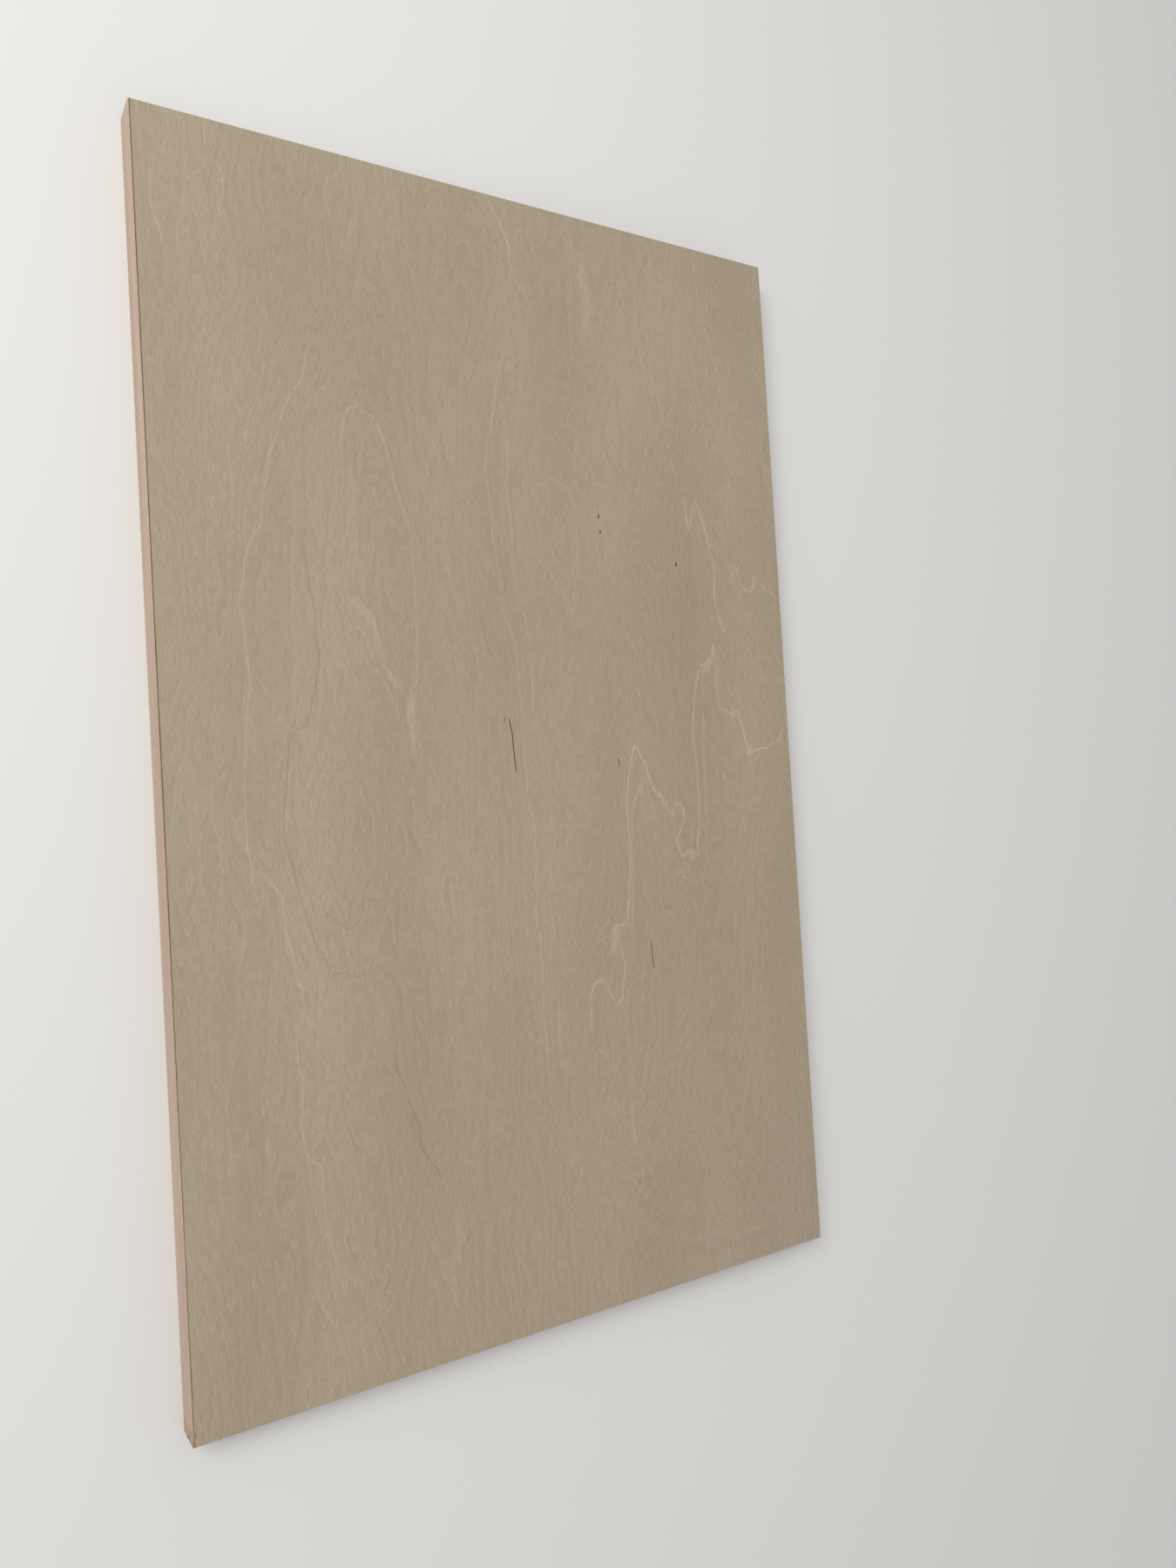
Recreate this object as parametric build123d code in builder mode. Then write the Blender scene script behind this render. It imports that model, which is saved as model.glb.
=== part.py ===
from build123d import *

import os

# A thick birch-faced plywood sheet that lies flat, with a thin beech band glued to its
# front long edge. Sizes are in millimetres. X runs along the face grain, Y from the
# front edge to the back edge, and Z up. The origin is under the middle, on the floor.

# Sheet
sheet_length = 1200.0
sheet_width = 737.0
sheet_thickness = 36.0
# Light sanding that breaks the sharp edges of the sheet
sheet_edge_round = 0.5

# Band on the front edge, as long and as tall as that edge
band_thickness = 1.0
band_edge_round = 0.3

# Bevel along the sheet's front edges, which leaves a fine groove beside the band
joint_bevel = 0.7

# Notch knocked out of the right end of the front edge, through the band
notch_height = 4.6
notch_reach = 2.4
notch_drop = 17.0
notch_depth = 2.6

# Flake torn out of the face at the front right corner
flake_length = 13.0
flake_width = 4.4
flake_depth = 0.6
flake_setback = 4.0

# Places of the sides, from the sizes above
right = sheet_length / 2
front = -(sheet_width + band_thickness) / 2
joint = front + band_thickness
middle_of_sheet = joint + sheet_width / 2

# The ragged edge of the flake, as shares of its length from the end side and of its width
flake_tear = [(0.0, 0.0), (0.1, 0.45), (0.3, 0.38), (0.46, 1.0), (0.6, 0.62), (0.82, 0.54), (1.0, 0.0)]


# Outline of the notch, seen from the front. Its mouth runs out past the end.
with BuildSketch(Plane.XZ.offset(-front)) as notch_outline:
    notch_middle = sheet_thickness - notch_drop
    with BuildLine():
        Polyline(
            (right + notch_reach, notch_middle + notch_height / 2),
            (right, notch_middle + notch_height / 2),
            (right - notch_reach, notch_middle + notch_height / 8),
            (right - notch_reach / 2, notch_middle - notch_height / 4),
            (right, notch_middle - notch_height / 2),
            (right + notch_reach, notch_middle - notch_height / 2),
            close=True,
        )
    make_face()

# Outline of the flake, seen from above. It opens onto the front.
with BuildSketch(Plane.XY.offset(sheet_thickness)) as flake_outline:
    flake_right = right - flake_setback
    with BuildLine():
        tear = [(flake_right - u * flake_length, front + v * flake_width) for u, v in flake_tear]
        mouth = [(flake_right - flake_length, front - flake_width), (flake_right, front - flake_width)]
        Polyline(*tear, *mouth, close=True)
    make_face()


# Plywood sheet: one solid, cut square, with every edge but the two at the ends of the
# band's joint broken a little.
with BuildPart() as plywood_sheet:
    with BuildSketch(Plane.XY):
        with Locations((0, middle_of_sheet)):
            Rectangle(sheet_length, sheet_width)
    extrude(amount=sheet_thickness)
    joint_edges = plywood_sheet.edges().filter_by(Axis.X).group_by(Axis.Y)[0]
    chamfer(joint_edges, joint_bevel)
    back_edges = plywood_sheet.faces().sort_by(Axis.Y)[-1].edges()
    end_edges = plywood_sheet.edges().filter_by(Axis.Y)
    fillet(back_edges + end_edges, sheet_edge_round)
    extrude(notch_outline.sketch, amount=-notch_depth, mode=Mode.SUBTRACT)
    extrude(flake_outline.sketch, amount=-flake_depth, mode=Mode.SUBTRACT)


# Edge band: a strip of solid wood flush with both faces and both ends of the sheet
with BuildPart() as edge_band:
    with BuildSketch(Plane.XZ.offset(-joint)):
        with Locations((0, sheet_thickness / 2)):
            Rectangle(sheet_length, sheet_thickness)
    extrude(amount=band_thickness)
    front_edges = edge_band.faces().sort_by(Axis.Y)[0].edges()
    fillet(front_edges, band_edge_round)
    extrude(notch_outline.sketch, amount=-notch_depth, mode=Mode.SUBTRACT)
    extrude(flake_outline.sketch, amount=-flake_depth, mode=Mode.SUBTRACT)


plywood_sheet.part.label = "plywood_sheet"
edge_band.part.label = "edge_band"

os.makedirs("parts", exist_ok=True)
export_step(plywood_sheet.part, "parts/plywood_sheet.step")
export_step(edge_band.part, "parts/edge_band.step")
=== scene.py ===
"""Looks of a birch plywood sheet with a beech band along its front edge.

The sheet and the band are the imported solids, so everything here is their finish: the
traced growth lines of the face, the plies on the cut edges, the torn wood at the
damaged corner and the beech band, with a plain studio and the camera.
"""

import logging
from collections.abc import Callable, Iterator, Sequence
from dataclasses import dataclass
from enum import Enum

import bmesh
import bpy
from mathutils import Matrix, Vector


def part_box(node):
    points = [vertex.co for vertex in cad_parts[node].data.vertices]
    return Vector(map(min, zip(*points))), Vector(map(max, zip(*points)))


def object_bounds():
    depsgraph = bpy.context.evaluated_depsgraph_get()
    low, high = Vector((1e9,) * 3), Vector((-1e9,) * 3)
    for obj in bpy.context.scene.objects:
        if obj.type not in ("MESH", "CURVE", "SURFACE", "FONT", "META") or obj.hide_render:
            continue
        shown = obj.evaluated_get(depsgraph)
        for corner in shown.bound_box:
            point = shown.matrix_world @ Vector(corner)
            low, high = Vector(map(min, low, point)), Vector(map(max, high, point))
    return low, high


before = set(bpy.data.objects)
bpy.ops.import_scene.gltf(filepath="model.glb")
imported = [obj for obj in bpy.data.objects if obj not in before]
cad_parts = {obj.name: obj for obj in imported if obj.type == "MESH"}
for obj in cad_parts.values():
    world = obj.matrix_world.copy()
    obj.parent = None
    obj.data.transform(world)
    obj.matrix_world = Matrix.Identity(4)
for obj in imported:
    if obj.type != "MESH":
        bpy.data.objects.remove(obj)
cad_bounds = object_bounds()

log = logging.getLogger("plywood_sheet")

Socket = bpy.types.NodeSocket
Number = Socket | float
Sockets = dict[str, Socket]
Point = tuple[float, float]
Parts = tuple[float, float, float]
Colour = tuple[int, int, int]

MM_PER_M = 1000.0
# Blender's noise lies about 0.5, and this brings its usual swing to about one
NOISE_GAIN = 7.0
# Length in mm that one unit of the growth lines' curve nodes stands for
CURVE_SPAN = 1200.0
# Tone halfway from a wood's darkest colour to its palest
MIDDLE_TONE = 0.5


def paint(colour: Colour) -> tuple[float, float, float, float]:
    """Turns a colour of 0 to 255 as seen on a screen into the linear one of a shader.

    Args:
        colour: Red, green and blue.

    Returns:
        The linear colour, with an alpha of 1.
    """
    shares = [part / 255 for part in colour]
    linear = [s / 12.92 if s <= 0.04045 else ((s + 0.055) / 1.055) ** 2.4 for s in shares]
    return (*linear, 1.0)


def alike(number: float) -> Parts:
    """Makes a vector of three like parts."""
    return number, number, number


class SocketKind(Enum):
    """What a socket of a node group carries."""

    VALUE = "NodeSocketFloat"
    VECTOR = "NodeSocketVector"


class MixKind(Enum):
    """What a Mix node mixes: its data type, its first input and its output."""

    NUMBER = ("FLOAT", 2, 0)
    VECTOR = ("VECTOR", 4, 1)
    COLOUR = ("RGBA", 6, 2)


class Run(Enum):
    """Which way a growth line runs, so that it has one place at each step."""

    ALONG_GRAIN = 0
    ACROSS_GRAIN = 1


@dataclass(frozen=True)
class Ease:
    """A soft change of a result as a value rises.

    Attributes:
        start: The value where the change begins.
        end: The value where it is over, which is more.
        before: The result up to the start.
        after: The result from the end.
    """

    start: float
    end: float
    before: float = 0.0
    after: float = 1.0


@dataclass(frozen=True)
class Swell:
    """Flat noise that is added to something.

    Attributes:
        grain: The size of its swells each way, in mm.
        share: How much of it is added.
        detail: How many finer layers it has.
    """

    grain: Point
    share: float = 1.0
    detail: float = 0.0


@dataclass(frozen=True)
class PhotoCamera:
    """The camera at the photo's viewing angle, turned so that the left end is on top."""

    place: Parts = (0.0690, -0.5655, 1.0720)
    looks_along: Parts = (-0.0273, 0.5255, -0.8503)
    top_of_picture: Parts = (-0.9979, 0.0359, 0.0543)
    lens: float = 25.57
    nearest: float = 0.01
    sensor_height: float = 36.0
    picture_width: float = 1350.0
    picture_height: float = 1800.0

    def axes(self) -> tuple[Vector, Vector, Vector]:
        """Works out the camera's own axes.

        Returns:
            The ways to the picture's right, to its top, and back to the viewer.
        """
        back = -Vector(self.looks_along).normalized()
        right = Vector(self.top_of_picture).cross(back).normalized()
        return right, back.cross(right), back

    def cast(self, point: Point, low: Vector, high: Vector) -> Point:
        """Finds the place on the face that a point of the picture shows.

        Args:
            point: Pixels from the picture's left and top.
            low: The sheet's lowest corner, in metres.
            high: The sheet's highest corner, in metres.

        Returns:
            The distances in mm along and across the face from that corner.
        """
        right, top, back = self.axes()
        reach = self.lens / self.sensor_height * self.picture_height
        aside, above = point[0] - self.picture_width / 2, self.picture_height / 2 - point[1]
        sight = right * aside + top * above - back * reach
        hit = Vector(self.place) + sight * ((high.z - self.place[2]) / sight.z)
        return (hit.x - low.x) * MM_PER_M, (hit.y - low.y) * MM_PER_M

    def build(self) -> None:
        """Makes the camera and gives it to the scene."""
        data = bpy.data.cameras.new("photo_camera")
        data.lens = self.lens
        data.clip_start = self.nearest
        camera = bpy.data.objects.new("photo_camera", data)
        turn = Matrix(self.axes()).transposed().to_4x4()
        camera.matrix_world = Matrix.Translation(self.place) @ turn
        bpy.context.scene.collection.objects.link(camera)
        bpy.context.scene.camera = camera


PHOTO_CAMERA = PhotoCamera()


@dataclass(frozen=True)
class GrowthLine:
    """A stretch of a growth line that never turns back on its run, in mm.

    Attributes:
        points: Places on the line, in order along its run. Each is the distance along the
            sheet from its left end, and the distance across it from the joint with the band.
        strength: How far it stands out, from 0 to 1.
        fade_in: Length over which its start comes up.
        fade_out: Length over which its end dies away.
        half_width: Half its width at its foot.
        run: The way it runs.
    """

    points: tuple[Point, ...]
    strength: float = 0.5
    fade_in: float = 3.0
    fade_out: float = 3.0
    half_width: float = 1.75
    run: Run = Run.ALONG_GRAIN

    # Length in mm that it is drawn past each end, and the largest share of it that one fade takes up
    overrun = 1.0
    longest_fade = 0.45

    def steps(self) -> list[Point]:
        """Its points as a step along its run and a place to the side."""
        return [(point[self.run.value], point[1 - self.run.value]) for point in self.points]

    def rises(self) -> list[Point]:
        """How fast it moves to the side, halfway between its points."""
        steps = self.steps()
        return [((a[0] + b[0]) / 2, (b[1] - a[1]) / (b[0] - a[0])) for a, b in zip(steps, steps[1:])]

    def places(self) -> list[Point]:
        """Lengthens its steps by the overrun at both ends.

        Returns:
            Steps along its run, and the place to the side at each.
        """
        steps, rises, over = self.steps(), self.rises(), self.overrun
        start = (steps[0][0] - over, steps[0][1] - over * rises[0][1])
        end = (steps[-1][0] + over, steps[-1][1] + over * rises[-1][1])
        return [start, *steps, end]

    def strengths(self) -> list[Point]:
        """Works out how its strength rises and falls.

        Returns:
            Steps along its run, and the strength at each.
        """
        start, end = self.places()[0][0], self.places()[-1][0]
        most = self.longest_fade * (end - start)
        full_from, full_to = start + min(self.fade_in, most), end - min(self.fade_out, most)
        return [(start, 0.0), (full_from, self.strength), (full_to, self.strength), (end, 0.0)]

    def slants(self) -> list[Point]:
        """Works out its slant from its run, halfway between its points and at its ends.

        Returns:
            Steps along its run, and the cosine of the slant at each.
        """
        cosines = [(step, (1 + rise * rise) ** -0.5) for step, rise in self.rises()]
        places = self.places()
        return [(places[0][0], cosines[0][1]), *cosines, (places[-1][0], cosines[-1][1])]


@dataclass(frozen=True)
class Trace:
    """A line of the figure followed over the photo, which may turn back on itself.

    Attributes:
        points: Places in the picture, in pixels from its left and top.
        strength: How far it stands out, from 0 to 1.
        half_width: Half its width at its foot, in mm.
        fade: Length over which its free ends die away, in mm.
    """

    points: tuple[Point, ...]
    strength: float = 0.4
    half_width: float = 1.75
    fade: float = 7.0

    # Least move along the grain, as a share of the move across it, for a stretch to run along it
    steepest_along = 0.45

    def heading(self, start: Point, end: Point) -> tuple[Run, bool]:
        """Tells how a straight stretch goes.

        Args:
            start: The place where it begins, in mm.
            end: The place where it ends.

        Returns:
            The way it runs, and whether it runs forwards.
        """
        moves = (end[0] - start[0], end[1] - start[1])
        is_along = abs(moves[0]) >= self.steepest_along * abs(moves[1])
        run = Run.ALONG_GRAIN if is_along else Run.ACROSS_GRAIN
        return run, moves[run.value] > 0

    def lines(self, low: Vector, high: Vector) -> Iterator[GrowthLine]:
        """Casts it on the face, and cuts it where it turns back on its run.

        Args:
            low: The sheet's lowest corner, in metres.
            high: The sheet's highest corner, in metres.

        Yields:
            Its stretches.
        """
        places = [PHOTO_CAMERA.cast(point, low, high) for point in self.points]
        headings = [self.heading(start, end) for start, end in zip(places, places[1:])]
        turns = [k for k in range(1, len(headings)) if headings[k] != headings[k - 1]]
        for first, last in zip([0, *turns], [*turns, len(headings)]):
            run, is_forward = headings[first]
            points = places[first:last + 1]
            fades = [self.fade if is_free else GrowthLine.overrun
                     for is_free in (first == 0, last == len(headings))]
            if not is_forward:
                points.reverse()
                fades.reverse()
            yield GrowthLine(tuple(points), self.strength, *fades, self.half_width, run)


@dataclass(frozen=True)
class GrowthLoop:
    """A growth line that closes on itself or opens to the right, which the rings go round.

    Attributes:
        front: Its points on the side towards the front edge, in mm.
        back: Its points on the side towards the back edge, over the same reach.
        ring: The count of the ring that it is.
        taper: How fast the rings round it close past its tips.
    """

    front: tuple[Point, ...]
    back: tuple[Point, ...]
    ring: float
    taper: float = 0.5


@dataclass
class LineRow:
    """Growth lines one after the other, which one curve can hold.

    Attributes:
        lines: The lines, in order along their run.
    """

    lines: list[GrowthLine]

    # Room that lines leave between them, and the reach past which detail is lost, in mm
    gap = 6.0
    longest_reach = 320.0
    # Cosine of the slant below which a line would look too thick
    steep = 0.86
    # Half width from which a line is a pale fill, and the share of it that is at full strength
    fill_width = 2.5
    fill_core = 0.5

    def has_room(self, line: GrowthLine) -> bool:
        """Tells whether a line fits after the last one, as thick as the first.

        Args:
            line: The line.

        Returns:
            Whether it fits.
        """
        start, end = line.steps()[0][0], line.steps()[-1][0]
        clear = self.lines[-1].steps()[-1][0] + self.gap < start
        near = end - self.lines[0].steps()[0][0] < self.longest_reach
        return clear and near and line.half_width == self.lines[0].half_width

    def stops(self, kind: Callable[[GrowthLine], list[Point]]) -> list[Point]:
        """One kind of stops of all its lines."""
        return [stop for line in self.lines for stop in kind(line)]

    @property
    def is_slanted(self) -> bool:
        """Whether some of it slants so much that it would look too thick."""
        return min(cosine for _step, cosine in self.stops(GrowthLine.slants)) < self.steep

    @property
    def core(self) -> float:
        """The share of its lines' width that is at full strength."""
        return self.fill_core if self.lines[0].half_width >= self.fill_width else 0.0

    @classmethod
    def pack(cls, lines: Sequence[GrowthLine]) -> list["LineRow"]:
        """Packs lines into as few rows as come easily.

        Args:
            lines: Lines with one run.

        Returns:
            The rows. Those that slant come late, and fills last.
        """
        rows: list[LineRow] = []
        for line in sorted(lines, key=lambda line: line.steps()[0]):
            row = next((row for row in rows if row.has_room(line)), None)
            if row is None:
                rows.append(cls([line]))
            else:
                row.lines.append(line)
        return sorted(rows, key=lambda row: (row.core, row.is_slanted, row.lines[0].places()[0]))


def in_threes(items: Sequence) -> Iterator[tuple]:
    """Deals items out in threes, for the three parts of a vector.

    Args:
        items: What is dealt. Its last item fills up the last three.

    Yields:
        Three items at a time.
    """
    padded = [*items, items[-1], items[-1]] if items else []
    for first in range(0, len(items), 3):
        yield tuple(padded[first:first + 3])


class Wiring:
    """Adds and joins the nodes of one node tree."""

    def __init__(self, tree: bpy.types.NodeTree) -> None:
        """Takes the tree of a material, a node group or a world to work in."""
        self.tree = tree

    def feed(self, socket: Socket, value: object) -> None:
        """Links a socket, or sets it where the value is plain.

        Args:
            socket: The input to fill.
            value: Another node's output, or a number, vector or colour.
        """
        if isinstance(value, Socket):
            self.tree.links.new(value, socket)
        else:
            socket.default_value = value

    def add(self, kind: str, inputs: dict | None = None, **settings: object) -> bpy.types.Node:
        """Adds a node.

        Args:
            kind: Its type, without the word that all shader nodes start with.
            inputs: What goes into its inputs, by name or number.
            settings: Its own properties.

        Returns:
            The node.
        """
        node = self.tree.nodes.new("ShaderNode" + kind)
        for name, setting in settings.items():
            setattr(node, name, setting)
        for key, value in (inputs or {}).items():
            self.feed(node.inputs[key], value)
        return node

    def math(self, operation: str, *values: Number) -> Socket:
        """Works out a Math node's operation on numbers."""
        return self.add("Math", dict(enumerate(values)), operation=operation).outputs[0]

    def vector(self, operation: str, *values: object) -> Socket:
        """Works out a Vector Math node's operation on each part of vectors."""
        return self.add("VectorMath", dict(enumerate(values)), operation=operation).outputs[0]

    def measure(self, operation: str, *values: object) -> Socket:
        """Works out the number that a Vector Math node's operation gives."""
        return self.add("VectorMath", dict(enumerate(values)), operation=operation).outputs["Value"]

    def parts(self, vector: Socket) -> list[Socket]:
        """Takes a vector apart into its three parts."""
        return list(self.add("SeparateXYZ", {0: vector}).outputs)

    def join(self, *parts: Number) -> Socket:
        """Makes a vector of its first parts, with the rest 0."""
        return self.add("CombineXYZ", dict(enumerate(parts))).outputs[0]

    def total(self, vector: Socket) -> Socket:
        """Adds up a vector's three parts."""
        return self.measure("DOT_PRODUCT", vector, alike(1.0))

    def highest(self, vector: Socket) -> Socket:
        """Finds the highest of a vector's three parts."""
        first, second, third = self.parts(vector)
        return self.math("MAXIMUM", self.math("MAXIMUM", first, second), third)

    def sum_up(self, base: Number, *shares: tuple[Socket, float]) -> Socket:
        """Adds values to a base.

        Args:
            base: What they are added to.
            shares: The values, each with the share that is added.

        Returns:
            The sum.
        """
        for value, share in shares:
            base = self.math("MULTIPLY_ADD", value, share, base)
        return base

    def ease(self, value: Number, ease: Ease) -> Socket:
        """Eases a result as a value rises."""
        inputs = {"Value": value, "From Min": ease.start, "From Max": ease.end,
                  "To Min": ease.before, "To Max": ease.after}
        return self.add("MapRange", inputs, interpolation_type="SMOOTHSTEP").outputs[0]

    def noise(self, place: Socket, swell: Swell) -> Socket:
        """Makes flat noise that swings about 0 by about 1.

        Args:
            place: Where it is read, in mm. Only its first two parts count.
            swell: Its grain and detail. Its share isn't used.

        Returns:
            The noise.
        """
        scaled = self.vector("MULTIPLY", place, (1 / swell.grain[0], 1 / swell.grain[1], 0.0))
        inputs = {"Vector": scaled, "Scale": 1.0, "Detail": swell.detail}
        noise = self.add("TexNoise", inputs, noise_dimensions="2D").outputs[0]
        return self.math("MULTIPLY_ADD", noise, NOISE_GAIN, -NOISE_GAIN / 2)

    def swell(self, base: Number, place: Socket, *swells: Swell) -> Socket:
        """Adds noises to a base, each read at the same place and added by its share."""
        return self.sum_up(base, *((self.noise(place, swell), swell.share) for swell in swells))

    def off_whole(self, count: Socket) -> Socket:
        """Measures how far a count is from the nearest whole number, which is half at most."""
        return self.math("PINGPONG", count, 0.5)

    def own(self, number: Socket) -> Socket:
        """Draws a lot from 0 to 1 for each whole number."""
        return self.add("TexWhiteNoise", {"W": number}, noise_dimensions="1D").outputs[0]

    def mix(self, share: Number, first: object, second: object, kind: MixKind = MixKind.COLOUR,
            blend: str = "MIX") -> Socket:
        """Mixes two colours, numbers or vectors.

        Args:
            share: The share of the second.
            first: What is there where the share is 0.
            second: What is there where the share is 1.
            kind: What they are.
            blend: How colours are mixed.

        Returns:
            The mixture.
        """
        data_type, first_input, output = kind.value
        inputs = {0: share, first_input: first, first_input + 1: second}
        return self.add("Mix", inputs, data_type=data_type, blend_type=blend).outputs[output]

    def ramp(self, value: Number, *colours: Colour) -> Socket:
        """Reads a colour off a row of colours that are evenly spaced from 0 to 1.

        Args:
            value: Where to read.
            colours: Two or three colours.

        Returns:
            The colour.
        """
        node = self.add("ValToRGB", {"Fac": value})
        row = node.color_ramp.elements
        row[0].color, row[-1].color = paint(colours[0]), paint(colours[-1])
        if len(colours) > 2:
            row.new(0.5).color = paint(colours[1])
        return node.outputs[0]

    def curves(self, step: Socket, rows: Sequence[Sequence[Point]], unit: float = 1.0) -> Socket:
        """Reads three curves at one step, into the three parts of a vector.

        Args:
            step: The step in curve spans, in each part.
            rows: Each curve's stops, as a step in mm and a value.
            unit: What the values are divided by.

        Returns:
            The three values as a vector. Past its ends a curve stays level.
        """
        reaches = [row[-1][0] - row[0][0] for row in rows]
        scales = tuple(CURVE_SPAN / reach for reach in reaches)
        offsets = tuple(-row[0][0] / reach for row, reach in zip(rows, reaches))
        node = self.add("VectorCurve", {"Vector": self.vector("MULTIPLY_ADD", step, scales, offsets)})
        mapping = node.mapping
        mapping.clip_min_x, mapping.clip_max_x = 0.0, 1.0
        mapping.extend = "HORIZONTAL"
        for curve, row, reach in zip(mapping.curves, rows, reaches):
            stops = [((place - row[0][0]) / reach, value / unit) for place, value in row]
            curve.points[0].location, curve.points[1].location = stops[0], stops[-1]
            for stop in stops[1:-1]:
                curve.points.new(*stop)
            for point in curve.points:
                point.handle_type = "AUTO_CLAMPED"
        mapping.update()
        return node.outputs[0]


class Effect(Wiring):
    """A shader node group with named inputs and outputs, built once by its own wiring."""

    name = ""
    takes: dict[str, SocketKind] = {}
    gives: tuple[str, ...] = ()

    def __init__(self) -> None:
        """Builds the group. All that it puts out are numbers that change over a surface."""
        super().__init__(bpy.data.node_groups.new(self.name, "ShaderNodeTree"))
        for label, kind in self.takes.items():
            self.tree.interface.new_socket(label, in_out="INPUT", socket_type=kind.value)
        for label in self.gives:
            self.tree.interface.new_socket(label, in_out="OUTPUT", socket_type=SocketKind.VALUE.value)
        entry = self.tree.nodes.new("NodeGroupInput")
        made = self.draw({label: entry.outputs[label] for label in self.takes})
        leave = self.tree.nodes.new("NodeGroupOutput")
        for label, socket in made.items():
            self.feed(leave.inputs[label], socket)

    def draw(self, given: Sockets) -> Sockets:
        """Draws what the group does, from its inputs to its outputs, both by name."""
        raise NotImplementedError

    def place(self, wiring: Wiring, **inputs: object) -> Sockets:
        """Places the group in a tree.

        Args:
            wiring: The tree's wiring.
            inputs: What goes in, by name.

        Returns:
            The group's outputs there, by name.
        """
        node = wiring.add("Group", node_tree=self.tree)
        for label, value in inputs.items():
            wiring.feed(node.inputs[label], value)
        return {label: node.outputs[label] for label in self.gives}


class RingTone(Effect):
    """Turns a ring count into faint ring lines and the slow change of tone between them."""

    name = "ring_tone"
    takes = {"Rings": SocketKind.VALUE}
    gives = ("Lines", "Tone")

    lines_per_ring = 2.0
    line_fall = Ease(0.0, 0.16, 1.0, 0.0)

    def draw(self, given: Sockets) -> Sockets:
        """Draws lines of their own strengths at whole counts, and a slope between rings.

        Args:
            given: The ring count.

        Returns:
            The lines and the tone.
        """
        count = self.math("MULTIPLY", given["Rings"], self.lines_per_ring)
        line = self.ease(self.off_whole(count), self.line_fall)
        own = self.own(self.math("ROUND", count))
        lines = self.math("MULTIPLY", line, self.math("MULTIPLY", own, own))
        return {"Lines": lines, "Tone": self.math("SUBTRACT", 0.5, self.math("FRACT", given["Rings"]))}


class WoodFibre(Effect):
    """Fine wood grain: fibres along the first axis and small dark pores among them."""

    name = "wood_fibre"
    takes = {"Place": SocketKind.VECTOR}
    gives = ("Fibre", "Fine", "Pores")

    short_fibre = Swell((9.0, 1.1), detail=1.0)
    long_fibre = Swell((55.0, 2.6), 0.22, 1.0)
    pore = Swell((4.5, 0.35))
    pore_rise = Ease(1.2, 2.0)

    def draw(self, given: Sockets) -> Sockets:
        """Draws long and short fibres, and pores where a finer noise peaks.

        Args:
            given: The place in the wood, in mm.

        Returns:
            All the fibres, the short ones alone, and the pores.
        """
        place = given["Place"]
        short = self.noise(place, self.short_fibre)
        pores = self.ease(self.noise(place, self.pore), self.pore_rise)
        return {"Fibre": self.swell(short, place, self.long_fibre), "Fine": short, "Pores": pores}


# The growth lines that run from end to end, each with its count among the rings
OPEN_LINES = (
    (GrowthLine(((0, 24), (60, 16), (150, 23), (205, 4), (270, -14), (340, 0), (400, 34), (450, 20),
                 (510, 30), (560, 8), (640, -8), (760, 10), (900, 24), (1010, 30), (1060, 50),
                 (1200, 62))), 0),
    (GrowthLine(((0, 212), (50, 208), (125, 198), (150, 190), (200, 156), (250, 136), (300, 118),
                 (350, 104), (400, 88), (450, 78), (500, 79), (600, 75), (650, 72), (690, 80), (725, 98),
                 (800, 113), (850, 118), (950, 115), (1000, 127), (1050, 134), (1090, 150),
                 (1200, 168))), 3),
    (GrowthLine(((0, 245), (30, 245), (100, 254), (200, 264), (300, 277), (340, 284), (420, 290),
                 (560, 296), (700, 300), (860, 292), (960, 286), (1080, 284), (1200, 292))), 5),
    (GrowthLine(((0, 362), (50, 378), (110, 380), (165, 368), (200, 357), (260, 343), (330, 340),
                 (400, 347), (470, 358), (520, 365), (600, 370), (700, 372), (800, 374), (900, 372),
                 (1200, 378))), 11),
    (GrowthLine(((0, 392), (100, 400), (200, 388), (300, 372), (400, 373), (500, 383), (560, 388),
                 (600, 392), (690, 392), (720, 386), (800, 392), (900, 394), (1200, 402))), 13),
    (GrowthLine(((0, 742), (400, 738), (800, 740), (1200, 744))), 28),
)
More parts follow.
